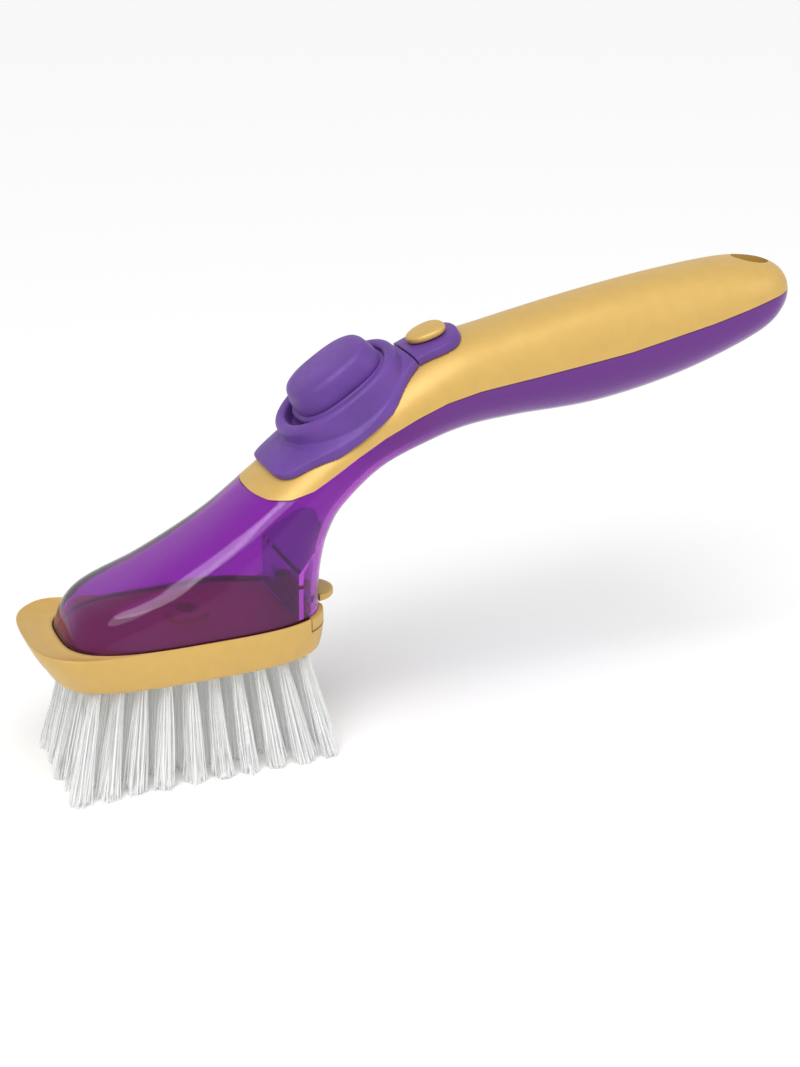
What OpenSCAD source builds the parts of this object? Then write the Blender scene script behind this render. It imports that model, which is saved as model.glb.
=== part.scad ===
// Dish wand: a soap-filled dish brush with a pump cap on the handle,
// a detachable brush head with a scraper lip, and a release latch.
// Millimetres. X runs from the scraper lip to the tail, Z is up, and the
// bristle tips stand on Z = 0.

/* [Head] */
// Length of the shell's foot, where it sits in the brush block
foot_l = 72; // [66:1:78]
// Width of the shell's foot
foot_w = 40.6; // [36:0.2:46]
// How square the foot's outline is, 2 for an ellipse
foot_sq = 3.2; // [2.6:0.1:4]
// Depth of the foot inside the brush block
foot_in = 3; // [2.5:0.25:4]
// Height of the brow above the foot
brow_h = 9; // [7:0.5:12]

/* [Handle] */
// Distance from the head's rear to the tail end
reach = 150.3; // [140:0.5:160]
// Width of the neck
neck_w = 33.6; // [31:0.2:37]
// Depth of the neck, top to under side
neck_d = 25.5; // [23:0.5:28]
// Height of the grip
grip_h = 31.6; // [28:0.2:34]
// Width of the grip
grip_w = 30; // [27:0.5:33]
// Width of the tail round the hanging hole
tail_w = 26; // [24:0.5:29]
// Radius of the hanging hole
hang_r = 5.5; // [4.5:0.25:6]
// Distance of the hanging hole from the tail end
hang_in = 12.5; // [11.5:0.25:14]

/* [Walls] */
// Wall of the tank shell
shell_t = 1.8; // [1.4:0.1:2.2]
// Wall of the handle cover
cover_t = 2; // [1.6:0.1:2.4]
// Thickness of the bulkheads inside the shell
bulkhead_t = 1.5; // [1.2:0.1:2]
// Shadow line between cover and shell
seam = 0.2; // [0.15:0.05:0.3]
// Gap between pieces that move past each other
gap = 0.3; // [0.25:0.05:0.4]

/* [Soap outlet] */
// Thickness of the tank floor
floor_t = 2.4; // [2:0.2:3]
// Radius of the spout
spout_r = 6; // [5.5:0.25:7]
// Length of the spout under the floor
spout_l = 4.4; // [4:0.2:5]
// Radius of the soap channel
soap_r = 3; // [2.5:0.25:3.5]
// Radius of the slit valve
valve_r = 4.3; // [4:0.1:4.6]
// Thickness of the O-ring's cord
oring_d = 1.6; // [1.4:0.1:1.8]

/* [Pump] */
// Place of the pump along the body sections
pump_s = 6.72; // [6.6:0.02:6.9]
// Radius of the filler hole in the cover
filler_r = 8.2; // [7:0.2:8.6]
// Depth of the plug in the filler hole
plug_l = 3; // [2:0.25:3.5]
// Clearance round the plug
plug_gap = 0.4; // [0.35:0.05:0.5]
// Thickness of the rubber plate and the strap
rubber_t = 2.2; // [1.8:0.1:2.6]
// Depth of the collar's seat in the plate
pump_seat = 1; // [0.5:0.1:1.2]
// Length of the collar round the button
collar_l = 39; // [37:0.5:42]
// Width of the collar
collar_w = 30; // [28:0.5:31]
// Height of the collar above the plate
collar_h = 4.2; // [3.4:0.2:4.8]
// Width of the collar's top
collar_t = 3.4; // [3:0.2:4]
// Width of the groove round the button
groove = 1.2; // [0.8:0.1:1.6]
// Height of the button above the plate
dome_h = 11.4; // [10.8:0.2:12.4]
// Set-back of the button in the collar
dome_u = 1.2; // [0:0.2:1.6]
// Wall of the button
dome_t = 1.6; // [1.2:0.1:2]
// How far the button is pressed
press = 3.8; // [3:0.2:4.2]
// Length of the pull lip in front of the collar
lip_l = 9; // [7:0.5:11]
// Width of the strap
strap_w = 16.4; // [15:0.2:18]
// Length of the strap behind the collar
strap_l = 17.5; // [16:0.5:19]
// Length of the strap's stud
stud_l = 11.4; // [10.5:0.2:12.4]
// Width of the strap's stud
stud_w = 9.6; // [8.8:0.2:10.4]
// Thickness of the stud's head
stud_t = 2.2; // [1.8:0.1:2.6]

/* [Latch] */
// Length of the rear notch
latch_l = 6; // [5:0.25:7]
// Reach of the thumb tab behind the shell
tab_r = 6.6; // [5.5:0.2:7.5]
// Thickness of the thumb tab
tab_t = 2.2; // [1.8:0.1:2.6]
// Height of the latch pin above the foot
pin_z = 4; // [3.5:0.25:5]
// Radius of the latch pin
pin_r = 1; // [0.8:0.1:1.2]
// Width of the lever between its ends
lever_w = 8; // [6:0.5:10]
// Depth of the tab's underside below the foot
tab_in = 0.2; // [0:0.1:0.4]

/* [Brush block] */
// Height of the block's side
block_h = 11.4; // [10.8:0.2:13]
// Bead round the shell's foot
bead_t = 1.3; // [1.1:0.1:1.8]
// Reach of the scraper lip past the foot
lip_out = 9.6; // [8:0.1:11]
// Rise of the block's top towards the lip
sheer = 1.6; // [0:0.2:2.4]
// Width of the flange at the root of the lip
flange_w = 50; // [46:0.5:51]

/* [Bristles] */
// Free length of the bristles
bristle_l = 31; // [26:0.5:35]
// Distance between tufts along a row
tuft_pitch = 6.5; // [6:0.1:6.8]
// Distance between rows
row_pitch = 7; // [6.4:0.1:7.2]
// Tufts along a row
tufts_n = 10; // [8:2:10]
// Width of a tuft where it leaves the block
tuft_w = 2.9; // [2.6:0.1:3.2]
// Thickness of a strand
strand_d = 0.7; // [0.5:0.05:0.8]
// Spread of the tips along the head
splay_x = 1.25; // [1.1:0.01:1.3]
// Spread of the tips across the head
splay_y = 1.3; // [1.1:0.01:1.4]

/* [Hidden] */
$fn = 48;
over = 1;

foot_z = bristle_l + block_h;
skirt_z = foot_z - foot_in;
overall_l = lip_out + foot_l + reach;
front_x = lip_out - overall_l / 2;
rear_x = front_x + foot_l;
head_x = (front_x + rear_x) / 2;
tail_x = overall_l / 2;
ring_n = 24;

gold = [0.88, 0.71, 0.38];
clear_purple = [0.43, 0.16, 0.62, 0.75];
rubber_purple = [0.47, 0.32, 0.65];
nylon = [0.93, 0.94, 0.93];
steel = [0.75, 0.76, 0.78];
silicone = [0.85, 0.85, 0.86];

// Body sections: [top x, z, under x, z, half width, squareness],
// x from the head's rear and z above the foot
SECTIONS = [
  [-foot_l, -foot_in, 0, -foot_in, foot_w / 2, foot_sq],
  [-foot_l, 0, 0, 0, foot_w / 2, foot_sq],
  [-foot_l + 5.2, brow_h, 0.6, brow_h - 1, foot_w / 2 - 0.7, foot_sq - 0.2],
  [-foot_l + 22, brow_h + 6.8, 1.8, 15, foot_w / 2 - 1.8, 2.8],
  [-31, 25.6, 4, 22.3, foot_w / 2 - 2.9, 2.6],
  [-16.6, 35.8, neck_d - 17, 29.2, neck_w / 2, 2.4],
  [-1.6, 47, 19.5, 38, neck_w / 2 - 0.3, 2.3],
  [16, 59, 32.6, 42.6, neck_w / 2 - 0.4, 2.3],
  [35.8, 68.6, 44.8, 44.9, grip_w / 2 + 0.6, 2.2],
  [55.8, 73.2, 59.8, 45.9, grip_w / 2, 2.2],
  [82.8, 46.7 + grip_h, 85.8, 46.7, grip_w / 2, 2.2],
  [108.8, 81.9, 112.8, 51.8, grip_w / 2 - 0.8, 2.3],
  [reach - 18.5, 83.5, reach - 13.5, 60.4, tail_w / 2, 2.4],
  [reach - 6.2, 81.4, reach - 4.6, 66.6, tail_w / 2 - 3.6, 2.3],
  [reach, 75, reach, 73.4, 1.2, 2]
];
last = len(SECTIONS) - 1;

// Smooth value of the sections' column c at s
function slope(c, i) = i == 0 ? SECTIONS[1][c] - SECTIONS[0][c]
  : i == last ? SECTIONS[last][c] - SECTIONS[last - 1][c]
  : (SECTIONS[i + 1][c] - SECTIONS[i - 1][c]) / 2;
function cubic(a, b, ma, mb, t) = (2 * pow(t, 3) - 3 * t * t + 1) * a + (pow(t, 3) - 2 * t * t + t) * ma
  + (3 * t * t - 2 * pow(t, 3)) * b + (pow(t, 3) - t * t) * mb;
function at(c, s) = let(i = min(floor(s), last - 1))
  cubic(SECTIONS[i][c], SECTIONS[i + 1][c], slope(c, i), slope(c, i + 1), s - i);
function top_at(s) = [rear_x + at(0, s), foot_z + at(1, s)];
function under_at(s) = [rear_x + at(2, s), foot_z + at(3, s)];
function lean(s) = let(d = top_at(s + 0.4) - top_at(s - 0.4)) atan2(d[1], d[0]);

// Superellipse of half lengths a, b and squareness n, count points
function oval(a, b, n, count) =
  [for (k = [0 : count - 1])
    let(t = 360 * k / count, c = cos(t), w = sin(t),
        q = 1 / pow(pow(abs(c), n) + pow(abs(w), n), 1 / n))
    [a * q * c, b * q * w]];

// Ring of points of the section at s, grown by off
function section(s, off) =
  let(f = top_at(s), r = under_at(s), mid = (f + r) / 2, d = norm(f - r) / 2, u = (f - r) / (2 * d))
  [for (p = oval(d + off, at(4, s) + off, at(5, s), ring_n)) [mid[0] + u[0] * p[0], -p[1], mid[1] + u[1] * p[0]]];

// Closed solid through rings of equal point counts, anticlockwise from above and stacked upward
module skin(rings) {
  n = len(rings[0]);
  m = len(rings);
  faces = concat(
    [[for (k = [0 : n - 1]) k]],
    [for (i = [0 : m - 2], k = [0 : n - 1])
      let(a = i * n + k, b = i * n + (k + 1) % n) each [[a, a + n, b + n], [a, b + n, b]]],
    [[for (k = [n - 1 : -1 : 0]) (m - 1) * n + k]]);
  polyhedron([for (r = rings) each r], faces, convexity = 6);
}

// Closed band through rings whose last ring meets the first
module band(rings) {
  n = len(rings[0]);
  m = len(rings);
  polyhedron([for (r = rings) each r],
    [for (i = [0 : m - 1], k = [0 : n - 1])
      let(a = i * n + k, b = i * n + (k + 1) % n, j = (i + 1) % m * n)
      each [[a, j + k, j + (k + 1) % n], [a, j + (k + 1) % n, b]]], convexity = 6);
}

module body(s0, s1, off, step = 0.5) {
  skin([for (s = [s0 : step : s1 + 0.001]) section(min(s, last), off)]);
}

// Inside of the body, open below the foot
module hollow(off) {
  skin(concat([[for (p = section(0, -off)) p - [0, 0, over]]],
    [for (s = [0.5 : 0.5 : last - 0.5]) section(s, -off)]));
}

// Solid of an outline drawn in X and Z, w to each side
module slab(points, w) {
  translate([0, w, 0]) rotate([90, 0, 0]) linear_extrude(2 * w) polygon(points);
}

// Parting line of shell and cover: [place, share of the depth from under to top]
PARTING = [[4.87, 1.04], [4.9, 0.9], [5.03, 0.76], [5.3, 0.65], [5.7, 0.602], [6.1, 0.583], [6.6, 0.572], [7.15, 0.553],
  [7.7, 0.532], [8.3, 0.504], [9.2, 0.486], [10.3, 0.492], [11.3, 0.495], [12.3, 0.504], [13.3, 0.506], [last, 0.52]];
function part_at(p) = let(f = top_at(p[0]), r = under_at(p[0])) r + p[1] * (f - r);
module above_parting(rise) {
  line = [for (p = PARTING) part_at(p) + [0, rise]];
  end = line[len(line) - 1];
  slab(concat(line, [end + [over, 0], [end[0] + over, foot_z + 100],
    [line[0][0] - 9, foot_z + 100], line[0] + [-9, 6]]), foot_w);
}

// Frame of the pump: its floor plane lies pump_seat under the top of the rubber plate
pump_tilt = lean(pump_s);
pump_o = top_at(pump_s) + (gap + rubber_t - pump_seat) * [-sin(pump_tilt), cos(pump_tilt)];
module on_pump() {
  translate([pump_o[0], 0, pump_o[1]]) rotate([0, -pump_tilt, 0]) children();
}
cover_n = pump_seat - rubber_t - gap;
rubber_low = -14;
collar_a = collar_l / 2;
collar_b = collar_w / 2;
button_a = collar_a - collar_t - groove - dome_u;
button_b = collar_b - collar_t - groove;
button_sq = 2.6;
rim_n = press + gap;
strap_u = collar_a + 1.6;
strap_end = collar_a + strap_l;

// Half widths of the rubber's outline along the pump
RUBBER = [[-collar_a - lip_l, 6], [-collar_a - lip_l + 0.6, 9.2], [-collar_a - lip_l + 3, 11.8],
  [-collar_a - 1, 13.3], [-0.5 * collar_a, collar_b + 0.5], [0, collar_b + 0.7], [0.45 * collar_a, collar_b - 1],
  [0.75 * collar_a, collar_b - 3.6], [strap_u - 1.6, strap_w / 2 + 0.8], [strap_u + 1, strap_w / 2],
  [strap_end - 5, strap_w / 2 + 0.2], [strap_end - 2.2, strap_w / 2 - 2.2], [strap_end - 0.6, strap_w / 2 - 4.6],
  [strap_end, 1.6]];
module rubber_outline(u0, u1) {
  intersection() {
    polygon(concat([for (p = RUBBER) [p[0], -p[1]]],
      [for (i = [len(RUBBER) - 1 : -1 : 0]) [RUBBER[i][0], RUBBER[i][1]]]));
    translate([u0, -foot_w]) square([u1 - u0, 2 * foot_w]);
  }
}

// Rubber skin over the cover between u0 and u1
module rubber_skin(u0, u1) {
  intersection() {
    on_pump() translate([0, 0, rubber_low]) linear_extrude(24) rubber_outline(u0, u1);
    body(4.5, 9.5, gap + rubber_t);
  }
}

latch_x = rear_x - latch_l;
pin_x = rear_x - shell_t - 3.2;
wall_x = pin_x - pin_r - 1.4 - 2 * gap - bulkhead_t;

// Bulkheads inside the shell, as outlines in X and Z
module bulkheads() {
  top = under_at(4.6);
  knee = [wall_x + 0.6, foot_z + 13];
  low = skirt_z + floor_t + gap;
  slab([[wall_x, low], [wall_x + bulkhead_t, low], knee + [bulkhead_t, 0],
    top + [0, over], top + [-bulkhead_t, over], knee], foot_w);
  mid = under_at(8.1);
  slab([mid + [-bulkhead_t, -over], mid + [0, -over], mid + [0, 40], mid + [-bulkhead_t, 40]], foot_w);
}

hang_x = tail_x - hang_in;
module hang_bore(r) {
  translate([hang_x, 0, foot_z + 50]) cylinder(h = 45, r = r);
}

module tank_shell() {
  color(clear_purple)
    difference() {
      body(0, last, 0);
      difference() {
        hollow(shell_t);
        bulkheads();
        hang_bore(hang_r + shell_t);
      }
      above_parting(0);
      hang_bore(hang_r);
      translate([latch_x - gap, -foot_w, skirt_z - over]) cube([latch_l + 9, 2 * foot_w, foot_in + over + 0.23]);
      translate([rear_x - 4, -lever_w / 2 - gap, foot_z]) cube([9, lever_w + 2 * gap, tab_t - tab_in + gap]);
      translate([pin_x, foot_w / 2 - 7.95, foot_z + pin_z]) rotate([90, 0, 0]) cylinder(h = foot_w - 15.9, r = pin_r + 0.02);
    }
}

module handle_cover() {
  color(gold)
    difference() {
      intersection() {
        body(4.5, last, 0);
        above_parting(seam);
      }
      difference() {
        hollow(cover_t);
        hang_bore(hang_r + cover_t);
        on_pump() translate([0, 0, cover_n - cover_t - 3]) cylinder(h = cover_t + 2, r = filler_r + cover_t);
      }
      hang_bore(hang_r);
      on_pump() translate([0, 0, -20]) cylinder(h = 30, r = filler_r);
    }
}

spout_bottom = skirt_z - spout_l;
module tank_floor() {
  color(gold)
    difference() {
      union() {
        skin([for (z = [skirt_z, skirt_z + floor_t])
          [for (p = oval(foot_l / 2 - shell_t - gap, foot_w / 2 - shell_t - gap, foot_sq, 48))
            [head_x + p[0], p[1], z]]]);
        intersection() {
          skin([for (z = [notch_z + gap, foot_z - gap])
            [for (p = oval(foot_l / 2 + bead_t, foot_w / 2 + bead_t, foot_sq, 48)) [head_x + p[0], p[1], z]]]);
          translate([latch_x + gap, -foot_w, notch_z]) cube([latch_l + 9, 2 * foot_w, 9]);
        }
        translate([head_x, 0, spout_bottom]) cylinder(h = spout_l + over, r = spout_r);
      }
      translate([wall_x + bulkhead_t, -lever_w / 2 - 3.4, foot_z - 1.4]) cube([latch_l + 9, lever_w + 6.8, 9]);
      translate([head_x, 0, spout_bottom - over]) cylinder(h = spout_l + floor_t + 2 * over, r = soap_r);
      translate([head_x, 0, spout_bottom - over]) cylinder(h = 2.4 + over, r = valve_r + 0.1);
      translate([head_x, 0, spout_bottom + 2.4]) difference() {
        cylinder(h = oring_d + 0.2, r = spout_r + over);
        translate([0, 0, -over]) cylinder(h = oring_d + 2 * over, r = spout_r - oring_d * 0.6);
      }
    }
}

module soap_valve() {
  color(silicone)
    translate([head_x, 0, spout_bottom + 1.2]) difference() {
      cylinder(h = 1.2, r = valve_r);
      translate([0, 0, -over]) cylinder(h = over + 0.6, r = soap_r);
      for (turn = [0, 90])
        rotate(turn) translate([-soap_r * 0.7, -0.1, -over]) cube([soap_r * 1.4, 0.2, 4]);
    }
}

module valve_retainer() {
  color(gold)
    translate([head_x, 0, spout_bottom]) difference() {
      cylinder(h = 1.1, r = valve_r);
      translate([0, 0, -over]) cylinder(h = 4, r = soap_r);
    }
}

module spout_oring() {
  color([0.1, 0.1, 0.1])
    translate([head_x, 0, spout_bottom + 2.5 + oring_d / 2])
      rotate_extrude() translate([spout_r - oring_d * 0.6 + oring_d / 2 + 0.05, 0]) circle(d = oring_d, $fn = 24);
}

module collar() {
  rings = [for (p = [[0, -11], [0, collar_h - 1.4], [-0.4, collar_h - 0.5], [-1.3, collar_h], [-collar_t + 0.6, collar_h],
    [-collar_t, collar_h - 0.6], [-collar_t, -11]])
    [for (q = oval(collar_a + p[0], collar_b + p[0], 2.2, 40)) [q[0], q[1], p[1]]]];
  band(rings);
}

module pump_cap() {
  color(rubber_purple) {
    difference() {
      union() {
        rubber_skin(-collar_a - lip_l - over, strap_u);
        on_pump() collar();
      }
      body(4.5, 9.5, gap);
      on_pump() skin([for (n = [-0.1, 12]) [for (q = oval(collar_a - collar_t + 0.02, collar_b - collar_t + 0.02, 2.2, 40))
        [q[0], q[1], n]]]);
      on_pump() translate([0, 0, -10]) cylinder(h = 20, r = filler_r - plug_gap - 1.6);
    }
    on_pump() translate([0, 0, cover_n - plug_l]) difference() {
      cylinder(h = plug_l + gap + 0.6, r = filler_r - plug_gap);
      translate([0, 0, -over]) cylinder(h = plug_l + 10, r = filler_r - plug_gap - 1.6);
    }
  }
}

// Button outline at share q of its size, at height n
function button_ring(q, n) = [for (p = oval(button_a + q, button_b + q, button_sq, 40)) [p[0] + dome_u, p[1], n]];

module pump_dome() {
  color(rubber_purple)
    on_pump() difference() {
      skin([button_ring(0, rim_n), button_ring(-0.2, rim_n + 2), button_ring(-0.9, dome_h - 2.4), button_ring(-1.6, dome_h - 1.2),
        button_ring(-2.9, dome_h - 0.5), button_ring(-6, dome_h)]);
      skin([button_ring(-dome_t, rim_n - over), button_ring(-dome_t - 0.9, dome_h - 2.8),
        button_ring(-dome_t - 3, dome_h - dome_t)]);
    }
}

module dome_membrane() {
  color(rubber_purple)
    on_pump() band([for (p = [[-0.2, 0.2], [0.3, rim_n / 2], [-0.2, rim_n - 0.2], [-1.2, rim_n - 0.2],
      [-0.7, rim_n / 2], [-1.2, 0.2]]) button_ring(p[0], p[1])]);
}

module cap_strap() {
  color(rubber_purple)
    difference() {
      rubber_skin(strap_u + gap, strap_end + over);
      body(4.5, 9.5, 0.1);
      on_stud() translate([0, 0, -8]) cylinder(h = 16, r = 2.9);
    }
}

stud_s = 8.02;
stud_tilt = lean(stud_s);
stud_o = top_at(stud_s) + (gap + rubber_t) * [-sin(stud_tilt), cos(stud_tilt)];
module on_stud() {
  translate([stud_o[0], 0, stud_o[1]]) rotate([0, -stud_tilt, 0]) children();
}
module strap_stud() {
  color(gold)
    on_stud() {
      skin([for (p = [[-0.6, 0.15], [0, 0.7], [0, stud_t - 0.7], [-0.6, stud_t - 0.2], [-1.6, stud_t]])
        [for (q = oval(stud_l / 2 + p[0], stud_w / 2 + p[0], 2.2, 32))
          [q[0], q[1] * (1 + q[0] / stud_l * 0.3), p[1] - 0.05]]]);
      translate([0, 0, -rubber_t - gap + 0.15]) cylinder(h = rubber_t + gap + 0.5, r = 2.6);
    }
}

// Outline of the brush block at height z, grown by off; lip is the share of the scraper lip
function block_ring(z, off, lip) =
  [for (p = oval(foot_l / 2 + off, foot_w / 2 + off, foot_sq, 48))
    let(x = head_x + p[0], f = max(0, (front_x + 20 - x) / (20 + off)), q = min(1, 1.5 * f), g = q * q * (3 - 2 * q))
    [x - lip * f * (2 - f) * (lip_out - off), p[1] * (1 + lip * g * (flange_w / foot_w - 1)), z + lip * g * sheer]];

bore_r = spout_r + 0.9;
strip_t = 1.2;
strip_w = tuft_w + 1.2;
notch_z = skirt_z - 1;
row_n = 5;
outlet_r = soap_r + 0.2;

// Places of the tufts along row r; the middle row leaves room for the soap outlet
function tufts(r) = [for (i = [0 : tufts_n - 1]) let(x = (i - (tufts_n - 1) / 2) * tuft_pitch)
  if (r != 2 || abs(x) > tuft_pitch) head_x + x - 0.9];
function row_y(r) = (r - (row_n - 1) / 2) * row_pitch;

module brush_block() {
  color(gold)
    difference() {
      skin([block_ring(bristle_l, -0.6, 0.3), block_ring(bristle_l + 1, 0.2, 0.36),
        block_ring(bristle_l + 3.6, 0.8, 0.5), block_ring(foot_z - 4, bead_t, 0.8), block_ring(foot_z - 1.2, bead_t, 0.97),
        block_ring(foot_z, bead_t, 1)]);
      skin([for (z = [skirt_z - gap, foot_z + 4])
        [for (p = oval(foot_l / 2 + gap, foot_w / 2 + gap, foot_sq, 48)) [head_x + p[0], p[1], z]]]);
      translate([latch_x, -foot_w, notch_z]) cube([latch_l + 9, 2 * foot_w, block_h]);
      translate([head_x, 0, spout_bottom - 0.6]) cylinder(h = block_h, r = bore_r);
      translate([head_x, 0, bristle_l - over]) cylinder(h = block_h, r = outlet_r);
      for (r = [0 : row_n - 1]) {
        strip(r, 0.05, over);
        for (x = tufts(r))
          translate([x, row_y(r), bristle_l + strip_t]) cylinder(h = 2, d = tuft_w * 0.8, $fn = 6);
      }
    }
}

// Slice of backing that carries row r, grown by off and cut below by deep
module strip(r, off, deep) {
  xs = tufts(r);
  w = strip_w + 2 * off;
  translate([min(xs), row_y(r) - w / 2, bristle_l - deep]) cube([max(xs) - min(xs), w, strip_t + deep]);
  for (x = [min(xs), max(xs)])
    translate([x, row_y(r), bristle_l - deep]) cylinder(h = strip_t + deep, d = w, $fn = 24);
  if (r == 2)
    translate([head_x, 0, bristle_l - deep]) cylinder(h = strip_t + deep, r = outlet_r + 1.2 + off);
}

// One strand from its root to its tip
module strand(root, tip) {
  d = tip - root;
  translate(root) rotate([0, acos(d[2] / norm(d)), atan2(d[1], d[0])])
    cylinder(h = norm(d), d = strand_d, $fn = 3);
}

module bristle_row(r) {
  color(nylon)
    difference() {
      union() {
        strip(r, 0, 0);
        for (x = tufts(r), k = [0 : 7])
          let(a = k * 360 / 7 + x * 9, q = k == 0 ? 0 : tuft_w / 2 - 0.1 * (k % 3), dx = q * cos(a), dy = q * sin(a),
              root = [x + dx, row_y(r) + dy, bristle_l + 0.4])
          strand(root, [head_x + (x - head_x) * splay_x + 1.6 * dx, row_y(r) * splay_y + 1.6 * dy, -0.5]);
      }
      translate([head_x - foot_l, -foot_w, -5]) cube([2 * foot_l, 2 * foot_w, 5]);
      translate([head_x, 0, bristle_l - over]) cylinder(h = 4, r = outlet_r);
    }
}
module bristle_row_1() { bristle_row(0); }
module bristle_row_2() { bristle_row(1); }
module bristle_row_3() { bristle_row(2); }
module bristle_row_4() { bristle_row(3); }
module bristle_row_5() { bristle_row(4); }

module tuft_anchors() {
  color(steel)
    for (r = [0 : row_n - 1], x = tufts(r))
      translate([x - tuft_w * 0.33, row_y(r) - 0.15, bristle_l + strip_t + 0.3]) cube([tuft_w * 0.66, 0.3, 1.5]);
}

module release_latch() {
  color(gold)
    difference() {
      union() {
        translate([pin_x - 0.4, -lever_w / 2, foot_z - tab_in]) cube([rear_x + 1 - pin_x + 0.4, lever_w, tab_t]);
        intersection() {
          translate([rear_x, 0, foot_z - tab_in]) cylinder(h = tab_t, r = tab_r);
          translate([rear_x + 0.6, -foot_w, skirt_z]) cube([9, 2 * foot_w, 20]);
        }
        translate([pin_x, lever_w / 2, foot_z + pin_z]) rotate([90, 0, 0]) cylinder(h = lever_w, r = pin_r + 1.4);
        translate([pin_x - 0.4, -lever_w / 2, foot_z + 1]) cube([2.6, lever_w, pin_z - 1]);
      }
      translate([pin_x, foot_w, foot_z + pin_z]) rotate([90, 0, 0]) cylinder(h = 2 * foot_w, r = pin_r + 0.05);
    }
}

module latch_pin() {
  color(steel)
    translate([pin_x, foot_w / 2 - 8, foot_z + pin_z]) rotate([90, 0, 0]) cylinder(h = foot_w - 16, r = pin_r);
}

module latch_spring() {
  color(steel)
    translate([pin_x, lever_w / 2 + 2, foot_z + pin_z]) rotate([90, 0, 0])
      rotate_extrude() translate([pin_r + 0.7, 0]) circle(d = 0.6, $fn = 24);
}

tank_shell();
handle_cover();
tank_floor();
soap_valve();
valve_retainer();
spout_oring();
pump_cap();
pump_dome();
dome_membrane();
cap_strap();
strap_stud();
release_latch();
latch_pin();
latch_spring();
brush_block();
bristle_row_1();
bristle_row_2();
bristle_row_3();
bristle_row_4();
bristle_row_5();
tuft_anchors();
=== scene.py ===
import math
import random

import bmesh
import bpy
from mathutils import Matrix, Vector


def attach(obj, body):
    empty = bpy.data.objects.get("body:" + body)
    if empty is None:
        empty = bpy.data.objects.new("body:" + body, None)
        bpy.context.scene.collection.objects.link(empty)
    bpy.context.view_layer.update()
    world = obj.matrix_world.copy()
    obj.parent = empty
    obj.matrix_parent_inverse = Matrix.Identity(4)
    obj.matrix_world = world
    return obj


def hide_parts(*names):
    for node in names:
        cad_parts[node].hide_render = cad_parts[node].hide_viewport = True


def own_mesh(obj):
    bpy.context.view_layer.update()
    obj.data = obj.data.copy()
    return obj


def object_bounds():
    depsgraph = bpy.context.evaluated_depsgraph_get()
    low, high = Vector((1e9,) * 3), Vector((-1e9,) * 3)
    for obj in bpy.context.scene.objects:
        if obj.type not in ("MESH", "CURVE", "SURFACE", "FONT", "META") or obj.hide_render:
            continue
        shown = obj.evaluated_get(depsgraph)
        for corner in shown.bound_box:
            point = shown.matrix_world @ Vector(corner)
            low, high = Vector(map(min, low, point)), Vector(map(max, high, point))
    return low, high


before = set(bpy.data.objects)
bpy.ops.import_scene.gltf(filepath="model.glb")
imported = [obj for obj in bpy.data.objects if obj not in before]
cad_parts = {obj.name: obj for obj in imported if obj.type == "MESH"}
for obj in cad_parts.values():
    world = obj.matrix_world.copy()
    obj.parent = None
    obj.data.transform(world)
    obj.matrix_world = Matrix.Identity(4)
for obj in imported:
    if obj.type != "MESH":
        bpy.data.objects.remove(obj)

bl_info = {
    "name": "Dish Wand",
    "version": (1, 0, 0),
    "blender": (4, 5, 0),
    "location": "3D View > Sidebar > Wand",
    "description": "Builds a soap-filled dish wand over its packed parts",
    "category": "Add Mesh",
}

CAD_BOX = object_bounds()
MM = 0.001


class WandSizes(bpy.types.PropertyGroup):
    """Sizes of the wand's body and head"""

    foot_l: bpy.props.FloatProperty(name="Foot length", description="Length of the shell's foot",
                                    default=0.072, unit="LENGTH")
    foot_w: bpy.props.FloatProperty(name="Foot width", description="Width of the shell's foot",
                                    default=0.0406, unit="LENGTH")
    reach: bpy.props.FloatProperty(name="Reach", description="From the head's rear to the tail end",
                                   default=0.1503, unit="LENGTH")
    shell_t: bpy.props.FloatProperty(name="Shell wall", description="Wall of the tank shell",
                                     default=0.0018, unit="LENGTH")
    cover_t: bpy.props.FloatProperty(name="Cover wall", description="Wall of the handle cover",
                                     default=0.002, unit="LENGTH")
    rubber_t: bpy.props.FloatProperty(name="Rubber", description="Thickness of the rubber plate and strap",
                                      default=0.0022, unit="LENGTH")
    bristle_l: bpy.props.FloatProperty(name="Bristles", description="Free length of the bristles",
                                       default=0.031, unit="LENGTH")
    lip_out: bpy.props.FloatProperty(name="Scraper lip", description="Reach of the scraper lip past the foot",
                                     default=0.0096, unit="LENGTH")


class WandFinish(bpy.types.PropertyGroup):
    """Colours of the wand"""

    clear: bpy.props.FloatVectorProperty(name="Clear purple", description="Tint of the moulded shell",
                                         default=(0.46, 0.056, 0.60), size=3, subtype="COLOR")
    handle: bpy.props.FloatVectorProperty(name="Handle purple", description="Denser tint along the handle",
                                          default=(0.24, 0.04, 0.40), size=3, subtype="COLOR")
    gold: bpy.props.FloatVectorProperty(name="Gold", description="Satin gold plastic",
                                        default=(0.64, 0.405, 0.105), size=3, subtype="COLOR")
    rubber: bpy.props.FloatVectorProperty(name="Rubber", description="Purple rubber of the pump",
                                          default=(0.125, 0.042, 0.285), size=3, subtype="COLOR")
    nylon: bpy.props.FloatVectorProperty(name="Nylon", description="Bristle filament",
                                         default=(0.95, 0.96, 0.955), size=3, subtype="COLOR")


def sizes():
    return bpy.context.scene.wand_sizes


def finish():
    return bpy.context.scene.wand_finish


# Shared sizes, in millimetres

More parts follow.
